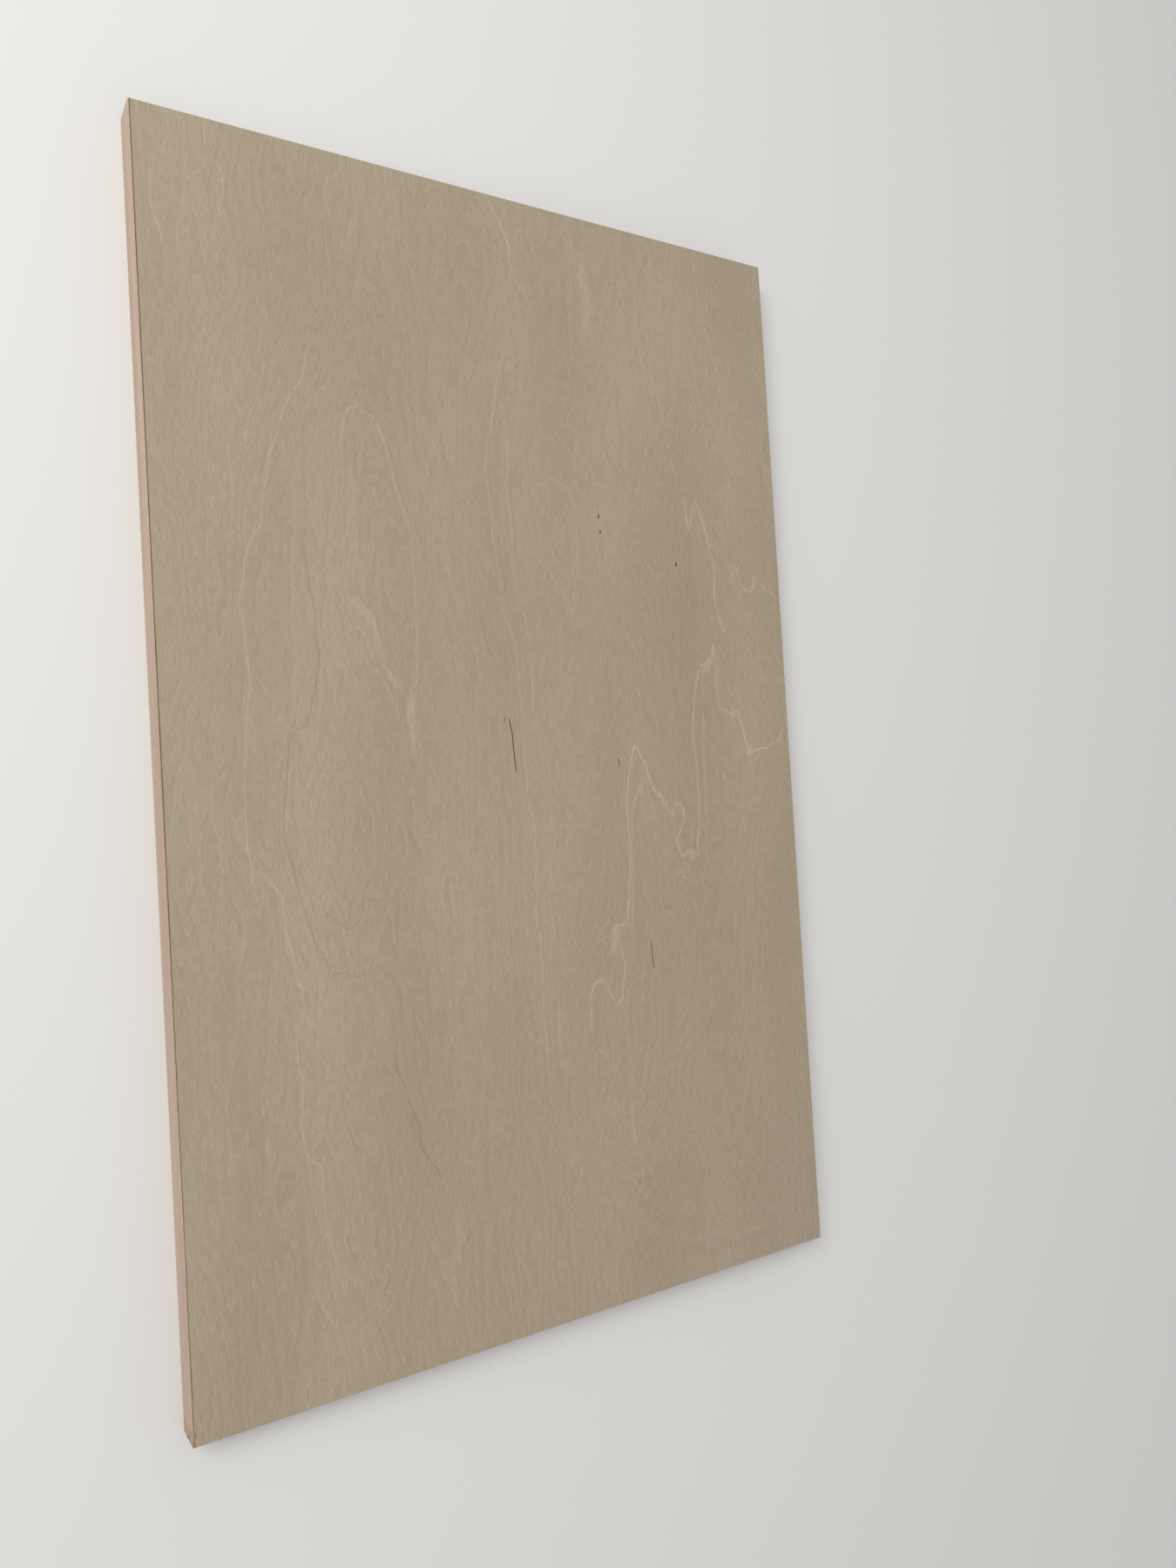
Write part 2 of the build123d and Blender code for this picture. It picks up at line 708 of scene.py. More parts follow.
# The growth lines that close on themselves or open to the right
LOOPS = (
    GrowthLoop(((250, 202), (262, 190), (275, 180), (300, 178), (400, 172), (440, 180), (475, 206),
                (500, 216), (535, 235), (600, 239), (612, 240)),
               ((250, 202), (270, 217), (300, 228), (350, 243), (420, 252), (520, 248), (540, 243),
                (600, 241), (612, 240)), 8),
    GrowthLoop(((330, 214), (350, 218), (362, 230), (440, 232), (470, 238)),
               ((330, 214), (345, 226), (380, 240), (440, 246), (470, 240)), 10),
    GrowthLoop(((708, 269), (730, 265), (765, 271)), ((708, 269), (730, 273), (765, 271)), 7.2),
    GrowthLoop(((150, 216), (200, 184), (250, 162), (300, 150), (350, 143), (400, 138), (460, 145),
                (500, 147), (530, 140), (560, 134), (580, 118), (625, 107), (680, 105), (750, 124),
                (800, 146), (812, 188), (830, 199), (900, 205), (960, 222), (1000, 232), (1026, 248)),
               ((150, 216), (200, 244), (300, 262), (400, 268), (500, 268), (620, 264), (760, 270),
                (850, 274), (900, 270), (960, 265), (1005, 258), (1026, 248)), 6),
    GrowthLoop(((606, 150), (620, 138), (650, 128), (690, 128), (730, 146), (756, 163)),
               ((606, 150), (615, 168), (640, 182), (670, 192), (710, 186), (740, 172), (756, 163)), 8),
    GrowthLoop(((950, 152), (985, 168), (1050, 170), (1100, 172), (1118, 174)),
               ((950, 152), (968, 190), (1000, 203), (1060, 196), (1118, 174)), 8),
    GrowthLoop(((240, 402), (300, 396), (400, 400), (480, 405), (560, 402), (600, 425), (612, 440)),
               ((240, 402), (300, 440), (400, 470), (480, 478), (560, 475), (600, 455), (612, 440)), 14),
    GrowthLoop(((298, 418), (310, 403), (350, 405), (400, 424), (443, 437)),
               ((298, 418), (310, 435), (350, 445), (400, 441), (443, 437)), 16),
    GrowthLoop(((450, 490), (480, 510), (520, 520), (560, 535), (605, 556)),
               ((450, 600), (480, 594), (520, 585), (560, 572), (605, 556)), 17, 1.5),
    GrowthLoop(((380, 560), (400, 551), (430, 550), (452, 557)),
               ((380, 560), (400, 567), (430, 571), (452, 557)), 19),
    GrowthLoop(((300, 614), (400, 600), (640, 560)), ((300, 614), (400, 645), (560, 700)), 19, 0.25),
    GrowthLoop(((473, 626), (520, 598), (700, 588), (850, 520), (1000, 500)),
               ((473, 626), (550, 640), (640, 735), (1000, 900)), 22, 0.25),
    GrowthLoop(((590, 509), (640, 497), (785, 490), (880, 462), (1000, 450)),
               ((590, 509), (655, 545), (722, 582), (900, 560), (1000, 500)), 22, 0.6),
    GrowthLoop(((848, 442), (860, 432), (1000, 428)), ((848, 442), (873, 465), (1000, 432)), 22, 0.6),
)
# The long bowed line on the left, its branch, and short ones beside it
BOWED_LINE = (
    Trace(((359, 392), (350, 415), (344, 438), (334, 452), (327, 467), (319, 496), (311, 513), (308, 537),
           (305, 558), (301, 579), (298, 604), (286, 620), (282, 640), (278, 673), (275, 702), (279, 719),
           (281, 739), (286, 777), (285, 814), (283, 897), (284, 933), (286, 966), (290, 995), (291, 1024),
           (292, 1041)), 0.5, fade=30),
    Trace(((290, 995), (307, 1008), (317, 1018), (323, 1028), (326, 1045), (330, 1066), (334, 1086),
           (342, 1120), (348, 1149), (345, 1170), (340, 1190), (341, 1218), (348, 1245), (348, 1284),
           (357, 1326), (369, 1338), (371, 1367), (373, 1409), (376, 1421), (384, 1441), (388, 1462),
           (398, 1479)), 0.5),
    Trace(((299, 455), (288, 469), (286, 488), (280, 504)), 0.48),
    Trace(((261, 504), (263, 521), (265, 546), (267, 562))),
    Trace(((299, 661), (296, 677)), 0.3),
)
# The tall arch, its inner lines and the pale tail at its foot
ARCH_AND_TAIL = (
    Trace(((390, 525), (392, 496), (398, 481), (404, 469), (411, 463), (417, 469), (427, 477), (433, 490),
           (442, 521), (446, 535), (452, 558), (456, 571), (462, 583), (467, 601), (471, 616), (473, 627),
           (475, 672), (476, 716), (477, 747), (479, 777), (477, 789), (468, 797)), 0.5),
    Trace(((429, 558), (433, 575), (440, 587), (452, 600), (460, 608)), 0.5),
    Trace(((444, 562), (448, 577)), 0.3),
    Trace(((400, 525), (402, 554), (404, 575), (402, 597), (397, 616), (393, 634)), 0.35),
    Trace(((389, 560), (387, 597), (389, 616)), 0.25),
    Trace(((402, 684), (424, 712), (434, 741), (448, 771), (460, 794)), 0.3, 4.5, 12),
    Trace(((402, 681), (415, 692), (425, 702), (431, 719), (437, 739), (444, 760), (454, 781),
           (465, 797)), 0.55),
    Trace(((408, 715), (419, 727), (425, 748), (433, 768), (445, 790), (452, 806), (460, 822))),
    Trace(((398, 756), (415, 806), (423, 831), (429, 855), (433, 884)), 0.3),
    Trace(((421, 793), (429, 814), (439, 831), (442, 855)), 0.3),
    Trace(((443, 675), (450, 694), (456, 710), (464, 719), (470, 716), (471, 686)), 0.3),
    Trace(((472, 796), (473, 806), (471, 818), (473, 834)), 0.45, 6.5, 9),
    Trace(((472, 802), (472, 831), (474, 850), (473, 872)), 0.5, 3.6, 16),
)
# The pair of lines down the middle, and others by them
MIDDLE_LINES = (
    Trace(((579, 400), (573, 421), (569, 442), (565, 463), (563, 484), (559, 525), (561, 566), (565, 604),
           (569, 629), (577, 677), (579, 702), (586, 723), (592, 744), (596, 777), (600, 806), (604, 870),
           (608, 921), (613, 950), (617, 1008), (618, 1056), (621, 1080), (623, 1120),
           (628, 1230)), 0.5, fade=30),
    Trace(((581, 504), (584, 525), (582, 546), (582, 566), (584, 595), (590, 648), (594, 673), (600, 702),
           (604, 723), (608, 756), (611, 800), (613, 850)), 0.45, fade=30),
    Trace(((632, 1030), (636, 1060), (640, 1090), (642, 1130), (643, 1200)), 0.35),
    Trace(((560, 227), (567, 244), (575, 260), (582, 277), (586, 293), (590, 314), (592, 326)), 0.7),
    Trace(((652, 268), (658, 290), (662, 314), (664, 357), (668, 386), (672, 396), (678, 394), (679, 364),
           (676, 331), (672, 306)), 0.38),
    Trace(((666, 280), (670, 325), (672, 360), (674, 394)), 0.33, 7.5, 30),
    Trace(((612, 598), (614, 574), (617, 552), (629, 550), (644, 554), (656, 566), (661, 590), (662, 630),
           (660, 673)), 0.36),
    Trace(((646, 669), (652, 688), (658, 702), (660, 690), (660, 673))),
    Trace(((614, 504), (611, 520)), 0.3),
    Trace(((672, 840), (677, 824), (682, 838)), 0.35),
    Trace(((744, 386), (749, 397), (753, 409))),
    Trace(((743, 414), (746, 431), (754, 451), (760, 471), (764, 489), (766, 503), (769, 523), (773, 540),
           (775, 551)), 0.45),
    Trace(((767, 423), (773, 446)), 0.3),
    Trace(((784, 453), (793, 466), (797, 494)), 0.3),
    Trace(((754, 690), (754, 673), (757, 662), (761, 659), (766, 673)), 0.35),
    Trace(((720, 474), (724, 494), (721, 517)), 0.3),
)
# The forked hook and the zigzags to its right
HOOK_AND_ZIGZAGS = (
    Trace(((786, 571), (787, 589), (789, 608), (793, 592), (799, 574), (804, 591), (810, 611), (814, 631),
           (817, 646), (820, 663), (821, 683), (824, 700), (827, 711), (830, 727),
           (833, 719)), 0.75, fade=4),
    Trace(((800, 594), (804, 615), (809, 634)), 0.35),
    Trace(((837, 670), (841, 663), (843, 651), (850, 666), (856, 676), (863, 683), (865, 675), (864, 666),
           (871, 671), (879, 678), (888, 680)), 0.8, fade=4),
    Trace(((849, 629), (856, 638), (870, 638)), 0.3),
    Trace(((843, 677), (843, 700)), 0.35, 1.8),
)
# The tall flame at the back, with its pale tip
BACK_FLAME = (
    Trace(((802, 983), (801, 907), (801, 888), (799, 861), (797, 837), (797, 815), (798, 793), (800, 780),
           (801, 769), (804, 765), (811, 761), (815, 755), (816, 747), (818, 739), (820, 750), (822, 766),
           (822, 782), (824, 799), (826, 810), (831, 815), (837, 819), (841, 827), (845, 813), (848, 818),
           (850, 826), (853, 837), (856, 850), (860, 860), (868, 861), (877, 858), (886, 856), (894, 850),
           (898, 838)), 0.95, fade=4),
    Trace(((808, 775), (811, 766), (816, 756)), 0.5, 6.0, 5),
    Trace(((817, 743), (818, 757)), 0.6, 3.5, 5),
    Trace(((843, 814), (841, 828)), 0.5, 4.0, 4),
    Trace(((860, 853), (860, 865)), 0.6, 4.0, 4),
    Trace(((805, 804), (809, 832), (808, 868), (809, 908), (810, 960), (811, 1000)), 0.5, fade=20),
)
# The flame before it, and its hooked foot
FRONT_FLAME = (
    Trace(((721, 1057), (722, 1024), (723, 990), (722, 961), (720, 934), (720, 913), (722, 897), (724, 885),
           (727, 868), (730, 855), (736, 866), (743, 883), (749, 902), (757, 913), (762, 922), (767, 929),
           (772, 933), (775, 925), (780, 921), (784, 926), (784, 937), (781, 948), (779, 956), (777, 964),
           (779, 974), (784, 983), (790, 974), (796, 979), (802, 984)), 0.9, fade=4),
    Trace(((727, 1063), (727, 1024), (726, 983), (727, 940), (729, 920), (733, 904), (738, 902)), 0.6),
    Trace(((736, 897), (734, 912)), 0.4, 5.0, 5),
    Trace(((790, 976), (797, 988)), 0.4, 5.0, 4),
    Trace(((791, 948), (794, 958), (794, 970), (790, 980)), 0.5),
    Trace(((777, 994), (783, 1002), (792, 1012), (800, 1014), (807, 1013), (809, 1002)), 0.55),
    Trace(((744, 912), (747, 918), (750, 929), (753, 942), (764, 952), (772, 964)), 0.35),
)
# The small hooks below it
SMALL_HOOKS = (
    Trace(((727, 1063), (718, 1061), (711, 1063), (711, 1083), (716, 1099), (719, 1111), (717, 1132),
           (715, 1144), (708, 1151), (702, 1144), (697, 1132), (693, 1124), (687, 1130), (681, 1134),
           (679, 1149), (680, 1183)), 0.7),
    Trace(((706, 1058), (705, 1078), (704, 1097)), 0.6, 5.0, 10),
    Trace(((683, 1134), (688, 1130), (694, 1124)), 0.5, 4.5, 5),
    Trace(((739, 1107), (736, 1132), (737, 1157))),
    Trace(((686, 1210), (691, 1208), (695, 1210)), 0.6, 1.6, 3),
    Trace(((724, 1255), (727, 1280), (729, 1305), (733, 1322), (737, 1342), (738, 1367)), 0.45),
    Trace(((621, 1132), (622, 1152)), 0.3),
    Trace(((771, 1280), (773, 1319)), 0.3),
)
# A narrow lens, a small arch, and faint marks near the ends
LENS_AND_END_MARKS = (
    Trace(((519, 1057), (519, 1040), (517, 1010), (513, 996), (510, 1005), (508, 1030), (510, 1050))),
    Trace(((633, 1024), (632, 991), (635, 975), (640, 958), (646, 962)), 0.3),
    Trace(((159, 143), (163, 172)), 0.4, 2.2),
    Trace(((173, 193), (173, 226), (179, 255), (186, 284))),
    Trace(((233, 135), (234, 164)), 0.5),
    Trace(((250, 189), (254, 214), (252, 234), (246, 255), (242, 272), (240, 250)), 0.45, 1.8),
    Trace(((288, 1437), (295, 1446), (299, 1462), (303, 1475))),
)
# The long dark line inside the bow, its foot, and the arc within
DARK_LOOP = (
    Trace(((355, 529), (353, 542), (350, 554), (348, 587), (348, 629), (351, 661), (353, 677)), 0.25),
    Trace(((351, 661), (353, 677), (359, 694), (361, 715), (366, 748), (363, 785), (359, 806), (353, 826),
           (344, 839), (336, 847), (334, 868), (332, 893), (329, 930), (326, 962), (334, 991), (342, 1020),
           (348, 1045), (357, 1066), (365, 1086), (375, 1099), (384, 1115), (398, 1120), (415, 1120),
           (427, 1117)), 0.6),
    Trace(((371, 1037), (375, 1053), (386, 1062), (398, 1064), (408, 1062), (413, 1053), (417, 1033),
           (423, 1004)), 0.5),
    Trace(((367, 884), (382, 878), (396, 884))),
    Trace(((342, 979), (353, 1004))),
)
# The slanting lines below the arch and towards the right end
SLANTING_LINES = (
    Trace(((452, 925), (464, 946), (477, 970), (485, 995)), 0.5),
    Trace(((456, 1004), (464, 1028), (468, 1066)), 0.35),
    Trace(((382, 1230), (392, 1255), (394, 1276), (400, 1297), (408, 1313), (417, 1330)), 0.5),
    Trace(((400, 1342), (406, 1359)), 0.3),
    Trace(((454, 1206), (456, 1235), (464, 1251), (473, 1272), (481, 1293), (483, 1313), (497, 1334),
           (506, 1351)), 0.65),
    Trace(((473, 1359), (479, 1375))),
    Trace(((398, 1412), (404, 1433), (411, 1452)), 0.6),
    Trace(((433, 1483), (444, 1475), (446, 1454)), 0.5),
    Trace(((539, 1409), (537, 1426), (529, 1446)), 0.5),
)
# Short dark lines beside the pale ones
DARK_COMPANIONS = (
    Trace(((464, 806), (466, 839)), 0.5),
    Trace(((553, 277), (565, 289), (577, 297), (584, 306)), 0.45),
    Trace(((548, 306), (553, 326)), 0.3),
    Trace(((645, 510), (656, 521)), 0.5),
    Trace(((648, 768), (654, 773), (660, 772)), 0.45),
    Trace(((806, 431), (803, 449))),
    Trace(((777, 453), (784, 453))),
    Trace(((738, 807), (744, 823), (754, 839), (761, 850), (770, 868)), 0.35),
    Trace(((803, 801), (808, 810), (812, 823), (816, 839), (818, 856)), 0.5),
    Trace(((785, 957), (787, 968)), 0.6, 2.2, 4),
    Trace(((797, 966), (797, 976)), 0.5, 2.2, 4),
    Trace(((633, 1024), (637, 1060), (640, 1086), (642, 1107), (642, 1140)), 0.35),
    Trace(((764, 666), (767, 683), (773, 703)), 0.35),
    Trace(((262, 507), (267, 537)), 0.3),
    Trace(((624, 828), (630, 848), (644, 868), (656, 884), (660, 892)), 0.3),
    Trace(((792, 1058), (797, 1060), (803, 1057)), 0.4, fade=3),
    Trace(((822, 922), (830, 921)), 0.4, fade=3),
    Trace(((827, 880), (836, 888), (846, 899)), 0.3),
    Trace(((863, 934), (868, 940), (872, 948)), 0.3),
    Trace(((765, 1092), (779, 1106)), 0.3),
    Trace(((511, 1003), (513, 1016), (514, 1030)), 0.4, 1.8),
)
# Thin dark mineral streaks and spots, which have no part in the rings
MINERAL_STREAKS = (
    Trace(((584, 823), (588, 843), (590, 864), (593, 888)), 1.0, 0.75, 12),
    Trace(((579, 823), (579, 829)), 0.7, 0.8, 3),
    Trace(((687, 591), (687, 595)), 1.0, 1.2, 2),
    Trace(((689, 609), (689, 612)), 1.0, 1.1, 2),
    Trace(((710, 870), (711, 878)), 0.8, 0.8, 3),
    Trace(((747, 1079), (749, 1095), (751, 1113)), 0.9, 0.7, 10),
    Trace(((776, 646), (776, 650)), 1.0, 1.3, 2),
)


class BirchFigure(Effect):
    """The face's figure: lines traced over the photo, and rings that follow their run."""

    name = "birch_figure"
    takes = {"Place": SocketKind.VECTOR}
    gives = ("Pale", "Dark", "Streak", "Lines", "Tone")

    pale_traces = (*BOWED_LINE, *ARCH_AND_TAIL, *MIDDLE_LINES, *HOOK_AND_ZIGZAGS, *BACK_FLAME, *FRONT_FLAME,
                   *SMALL_HOOKS, *LENS_AND_END_MARKS)
    dark_traces = (*DARK_LOOP, *SLANTING_LINES, *DARK_COMPANIONS)

    ring_width = 13.0
    # Square of the distance in mm within which a line's own ring count holds, and how its say dies away
    vote_softness = 20.0
    vote_power = -1.5
    # How the lines waver along the grain and across it, and the rings between them
    waver_along = (Swell((60, 18), 1.6), Swell((16, 3), 0.7))
    waver_across = (Swell((90, 17), 0.9), Swell((24, 7), 0.5, 1.0))
    waver_of_rings = (Swell((140, 26), 0.35), Swell((50, 9), 0.14))
    # Strengths over which a mark comes out in full, and the noise that makes the lines fainter in patches
    line_rise = Ease(0.0, 0.75)
    streak_rise = Ease(0.0, 0.6)
    patch = Swell((50, 26))
    patch_rise = Ease(-1.6, 0.4, 0.78, 1.0)

    def draw(self, given: Sockets) -> Sockets:
        """Draws each traced line and lets each ring line vote on the count of the rings.

        Args:
            given: The place on the face, in mm.

        Returns:
            The pale and the dark lines, the streaks, and the rings' lines and tone.
        """
        place = given["Place"]
        along, across, _height = self.parts(place)
        plain = self.in_spans(along, across)
        warped = self.in_spans(self.swell(along, place, *self.waver_along),
                               self.swell(across, place, *self.waver_across))
        patchiness = self.ease(self.noise(place, self.patch), self.patch_rise)
        rings = self.swell(self.count_rings(warped), place, *self.waver_of_rings)
        made = RING_TONE.place(self, Rings=rings)
        made["Streak"] = self.draw_traces(MINERAL_STREAKS, plain, self.streak_rise)
        for label, traces in (("Pale", self.pale_traces), ("Dark", self.dark_traces)):
            drawn = self.draw_traces(traces, warped, self.line_rise)
            made[label] = self.math("MULTIPLY", drawn, patchiness)
        return made

    def in_spans(self, along: Socket, across: Socket) -> dict[Run, Socket]:
        """Turns two places in mm into curve spans, each over all parts of a vector, by run."""
        shares = [self.math("MULTIPLY", place, 1 / CURVE_SPAN) for place in (along, across)]
        return {run: self.join(share, share, share) for run, share in zip(Run, shares)}

    def draw_traces(self, traces: Sequence[Trace], place: dict[Run, Socket], rise: Ease) -> Socket:
        """Draws traces, three rows at a time, each line fading from its middle to its foot.

        Args:
            traces: The traces.
            place: Where the surface is, by run.
            rise: How a line's strength shows.

        Returns:
            How strongly a place is marked, from 0 to 1.
        """
        low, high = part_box("plywood_sheet")
        lines = [line for trace in traces for line in trace.lines(low, high)]
        drawn = alike(0.0)
        for run in Run:
            step, side = place[run], place[Run(1 - run.value)]
            for trio in in_threes(LineRow.pack([line for line in lines if line.run is run])):
                places = self.curves(step, [row.stops(GrowthLine.places) for row in trio], CURVE_SPAN)
                off = self.vector("ABSOLUTE", self.vector("SUBTRACT", side, places))
                if any(row.is_slanted for row in trio):
                    slants = self.curves(step, [row.stops(GrowthLine.slants) for row in trio])
                    off = self.vector("MULTIPLY", off, slants)
                peaks = tuple(1 / (1 - row.core) for row in trio)
                falls = tuple(-CURVE_SPAN * peak / row.lines[0].half_width
                              for peak, row in zip(peaks, trio))
                tent = self.vector("MULTIPLY_ADD", off, falls, peaks)
                if max(peaks) > 1:
                    tent = self.vector("MINIMUM", tent, alike(1.0))
                strengths = self.curves(step, [row.stops(GrowthLine.strengths) for row in trio])
                drawn = self.vector("MAXIMUM", drawn, self.vector("MULTIPLY", tent, strengths))
        return self.ease(self.highest(drawn), rise)

    def count_rings(self, place: dict[Run, Socket]) -> Socket:
        """Counts the rings from the front, each open line and loop having its say near it.

        Args:
            place: Where the surface is, by run.

        Returns:
            The ring count.
        """
        step, side = place[Run.ALONG_GRAIN], place[Run.ACROSS_GRAIN]
        votes = weights = alike(0.0)
        softness = alike(self.vote_softness / CURVE_SPAN ** 2)
        for distance, rings in self.distances(step, side):
            spread = self.vector("MULTIPLY_ADD", distance, distance, softness)
            weight = self.vector("POWER", spread, alike(self.vote_power))
            count = self.vector("MULTIPLY_ADD", distance, alike(CURVE_SPAN / self.ring_width), rings)
            votes = self.vector("MULTIPLY_ADD", count, weight, votes)
            weights = self.vector("ADD", weights, weight)
        return self.math("DIVIDE", self.total(votes), self.total(weights))

    def distances(self, step: Socket, side: Socket) -> Iterator[tuple[Socket, Parts]]:
        """Measures how far behind each open line, and inside each loop, the surface is.

        Args:
            step: Where the surface is along the sheet.
            side: Where it is across the sheet.

        Yields:
            Three distances in curve spans, and the ring counts of the lines or loops.
        """
        for trio in in_threes(OPEN_LINES):
            places = self.curves(step, [line.places() for line, _ring in trio], CURVE_SPAN)
            yield self.vector("SUBTRACT", side, places), tuple(ring for _line, ring in trio)
        for trio in in_threes(LOOPS):
            fronts = self.curves(step, [loop.front for loop in trio], CURVE_SPAN)
            backs = self.curves(step, [loop.back for loop in trio], CURVE_SPAN)
            behind_front = self.vector("SUBTRACT", side, fronts)
            inside = self.vector("MINIMUM", behind_front, self.vector("SUBTRACT", backs, side))
            starts, ends = (tuple(loop.front[tip][0] / CURVE_SPAN for loop in trio) for tip in (0, -1))
            before_start = self.vector("SUBTRACT", starts, step)
            outside = self.vector("MAXIMUM", before_start, self.vector("SUBTRACT", step, ends))
            past = self.vector("MAXIMUM", outside, alike(0.0))
            distance = self.vector("MULTIPLY_ADD", past, tuple(-loop.taper for loop in trio), inside)
            yield distance, tuple(loop.ring for loop in trio)


class PlyStack(Effect):
    """The plies on a cut edge, told apart by their height."""

    name = "ply_stack"
    takes = {"Height": SocketKind.VALUE, "Along": SocketKind.VALUE, "Ply": SocketKind.VALUE}
    gives = ("Cross", "Glue", "Own Tone")

    waver = Swell((160, 5), 0.09)
    glue_fall = Ease(0.03, 0.13, 1.0, 0.0)

    def draw(self, given: Sockets) -> Sockets:
        """Draws a glue line between plies and a tone for each ply.

        Args:
            given: The height, the place along the edge and a ply's thickness, in mm.

        Returns:
            Whether a ply lies crosswise, where the glue is, and the ply's own tone.
        """
        place = self.join(given["Along"], given["Height"])
        count = self.swell(self.math("DIVIDE", given["Height"], given["Ply"]), place, self.waver)
        number = self.math("FLOOR", count)
        from_glue = self.math("MULTIPLY", self.off_whole(count), given["Ply"])
        return {"Cross": self.math("MODULO", number, 2.0), "Glue": self.ease(from_glue, self.glue_fall),
                "Own Tone": self.own(number)}


class BrokenCorner(Effect):
    """Where the front right corner is torn, and the painted shade inside its notch."""

    name = "broken_corner"
    takes = {"Place": SocketKind.VECTOR, "Ragged": SocketKind.VALUE}
    gives = ("Torn", "Notched")

    # Distances along the sheet over which the tear begins, and how far its edge is ragged
    tear_rise = Ease(1185.0, 1190.0)
    raggedness = 2.5
    # Middle of the notch, and how far the painted shade inside it reaches, which is less along the sheet
    # than up and down
    notch_place = (1199.4, 0.0, 19.0)
    notch_squeeze = (1.0, 1.0, 0.62)
    notch_shade_fall = Ease(2.7, 3.4, 1.0, 0.0)

    def draw(self, given: Sockets) -> Sockets:
        """Marks the band's last stretch as torn, and paints shade inside the notch.

        Args:
            given: The place in mm, and a noise that makes the tear ragged.

        Returns:
            How far it is torn there, and how far the notch's painted shade lies there.
        """
        along = self.parts(given["Place"])[0]
        torn = self.ease(self.sum_up(along, (given["Ragged"], self.raggedness)), self.tear_rise)
        from_notch = self.vector("SUBTRACT", given["Place"], self.notch_place)
        reach = self.measure("LENGTH", self.vector("MULTIPLY", from_notch, self.notch_squeeze))
        return {"Torn": torn, "Notched": self.ease(reach, self.notch_shade_fall)}


RING_TONE = RingTone()
WOOD_FIBRE = WoodFibre()
BIRCH_FIGURE = BirchFigure()
PLY_STACK = PlyStack()
BROKEN_CORNER = BrokenCorner()


class Surface(Wiring):
    """The wiring of a wood's material, with where its surface lies and which way it faces.

    Attributes:
        place: Its place in mm from the sheet's lowest front left corner.
        along: The place along the sheet.
        across: The place across it.
        height: The height above the floor.
        thickness: The sheet's thickness.
        upward: The normal's upward part.
        on_end: 1 where it faces an end of the sheet more than its front or back.
    """

    def __init__(self, tree: bpy.types.NodeTree, low: Vector, high: Vector) -> None:
        """Reads the surface in a material.

        Args:
            tree: The material's node tree.
            low: The sheet's lowest corner, in metres.
            high: The sheet's highest corner, in metres.
        """
        super().__init__(tree)
        self.thickness = (high.z - low.z) * MM_PER_M
        coordinates = self.add("TexCoord").outputs
        offset = tuple(-part * MM_PER_M for part in low)
        self.place = self.vector("MULTIPLY_ADD", coordinates["Object"], alike(MM_PER_M), offset)
        self.along, self.across, self.height = self.parts(self.place)
        x, y, self.upward = self.parts(coordinates["Normal"])
        self.on_end = self.math("GREATER_THAN", self.math("ABSOLUTE", x), self.math("ABSOLUTE", y))


@dataclass(frozen=True)
class WoodFinish:
    """What the finishes of the two raw sanded woods have alike."""

    name: str
    roughness: float
    gloss: float
    # Near-black painted shade inside the notch at the front right corner
    notch_shade_colour: Colour = (40, 29, 22)
    # How much the grain is drawn together where it shows its ends
    end_grain_squeeze: float = 24.0
    relief_strength: float = 0.12
    relief_depth: float = 0.0001

    def build(self, low: Vector, high: Vector) -> bpy.types.Material:
        """Makes the material.

        Args:
            low: The sheet's lowest corner, in metres.
            high: The sheet's highest corner, in metres.

        Returns:
            The material.
        """
        material = bpy.data.materials.new(self.name)
        material.use_nodes = True
        surface = Surface(material.node_tree, low, high)
        shader = material.node_tree.nodes["Principled BSDF"].inputs
        shader["Roughness"].default_value = self.roughness
        shader["Specular IOR Level"].default_value = self.gloss
        colour, relief, corner = self.draw(surface)
        # The notch at the front right corner gets its painted shade
        surface.feed(shader["Base Color"], surface.mix(corner["Notched"], colour, paint(self.notch_shade_colour)))
        bump = {"Height": relief, "Strength": self.relief_strength, "Distance": self.relief_depth}
        surface.feed(shader["Normal"], surface.add("Bump", bump).outputs[0])
        return material

    def draw(self, surface: Surface) -> tuple[Socket, Socket, Sockets]:
        """Draws the wood.

        Args:
            surface: The wood's wiring and surface.

        Returns:
            Its colour, its relief, and where the front right corner is broken.
        """
        raise NotImplementedError


